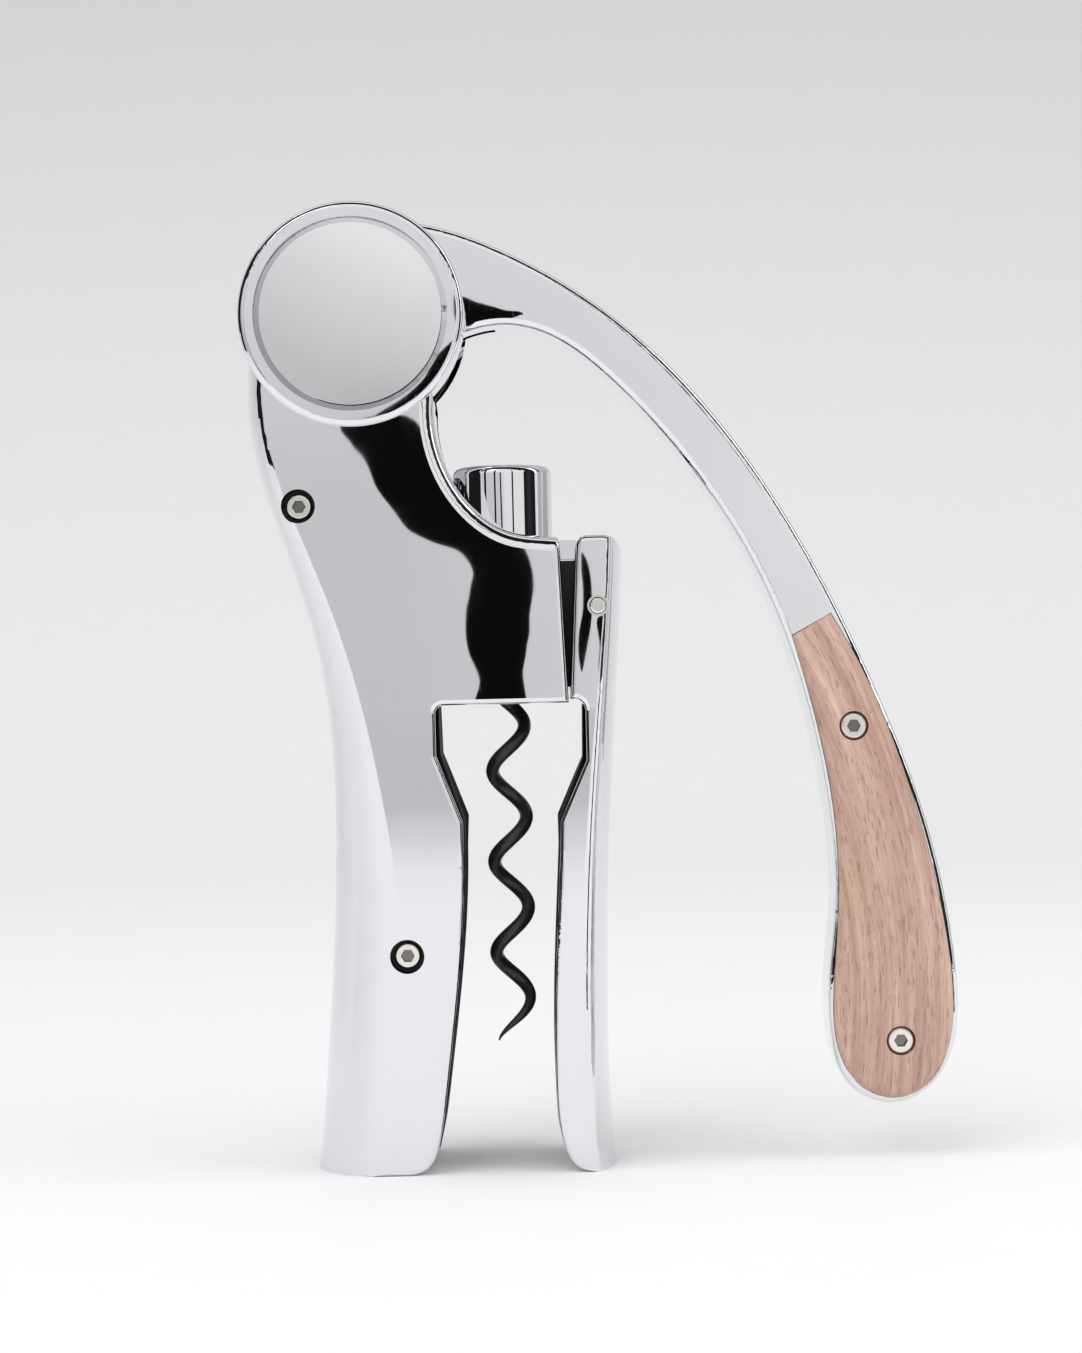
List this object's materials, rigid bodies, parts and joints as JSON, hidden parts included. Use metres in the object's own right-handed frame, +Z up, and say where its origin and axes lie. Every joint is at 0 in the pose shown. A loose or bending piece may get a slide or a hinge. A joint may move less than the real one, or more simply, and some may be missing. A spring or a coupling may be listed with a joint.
{
  "type": "lever corkscrew",
  "caption": "Free-standing lever corkscrew: a chrome body and hinged jaw grip the bottle, and a wood-handled geared lever drives the worm.",
  "frame": {"origin": "on the worm's and the bottle's common axis, in the plane that the grip's foot stands on", "axes": "+Z up along the worm, +X toward the lever, +Y through the thickness, away from the side with the screw heads"},
  "size_m": [0.146, 0.037, 0.2002],
  "materials": {
    "chrome": "mirror-polished chrome plate",
    "satin_disc": "fine satin with a polished bevel",
    "screw_steel": "turned stainless steel",
    "plain_steel": "machined and lightly oiled",
    "black_steel": "smooth black non-stick coat",
    "black_plastic": "matt moulded polymer",
    "bronze": "sintered bearing bronze",
    "walnut": "light oiled walnut, open grain"
  },
  "bodies": {
    "body": {"body_shell_near": "chrome", "body_shell_far": "chrome", "cover_disc_near": "satin_disc", "cover_disc_far": "satin_disc", "body_screws": "screw_steel", "body_screw_nuts": "screw_steel", "body_liner": "black_plastic", "worm_nut": "black_plastic", "pivot_axle": "plain_steel", "axle_spacer": "bronze", "pinion_shaft": "plain_steel", "jaw_pin": "screw_steel", "jaw_spring": "plain_steel", "slot_guard": "black_plastic"},
    "lever": {"lever_arm": "chrome", "ring_gear": "plain_steel", "lever_bush": "bronze", "wood_scale_near": "walnut", "wood_scale_far": "walnut", "handle_screws": "screw_steel", "handle_screw_nuts": "screw_steel"},
    "pinion": {"compound_pinion": "plain_steel"},
    "carriage": {"column": "chrome", "rack_rail": "plain_steel", "rack_screws": "screw_steel", "bearing_cap": "black_plastic", "thrust_washer": "plain_steel", "shank_bush": "bronze"},
    "worm": {"worm": "black_steel", "worm_collar": "plain_steel"},
    "jaw": {"jaw_shell": "chrome", "jaw_liner": "black_plastic", "jaw_bushes": "screw_steel"}
  },
  "joints": [
    {"name": "lever_pivot", "type": "hinge", "parent": "body", "child": "lever", "pos_m": [-0.0302, 0, 0.177], "axis": [0, -1, 0], "range_deg": [0, 171]},
    {"name": "pinion_spin", "type": "hinge", "parent": "body", "child": "pinion", "pos_m": [-0.0287, 0, 0.16509], "axis": [0, -1, 0], "range_deg": [0, 581.9]},
    {"name": "carriage_slide", "type": "slide", "parent": "body", "child": "carriage", "axis": [0, 0, 1], "range_m": [0, 0.0712]},
    {"name": "worm_spin", "type": "hinge", "parent": "carriage", "child": "worm", "pos_m": [0, 0, 0.06], "axis": [0, 0, 1], "range_deg": [0, 1340.8]},
    {"name": "jaw_hinge", "type": "hinge", "parent": "body", "child": "jaw", "pos_m": [0.0192, 0, 0.1161], "axis": [0, -1, 0], "range_deg": [0, 9], "stiffness_Nm_per_rad": 0.25, "springref_deg": -28.65, "deforming": ["jaw_spring"]}
  ],
  "couplings": [
    {"joint": "pinion_spin", "follows": "lever_pivot", "ratio": 3.4},
    {"joint": "carriage_slide", "follows": "lever_pivot", "m_per_rad": 0.0238},
    {"joint": "worm_spin", "follows": "lever_pivot", "ratio": 7.8293}
  ]
}
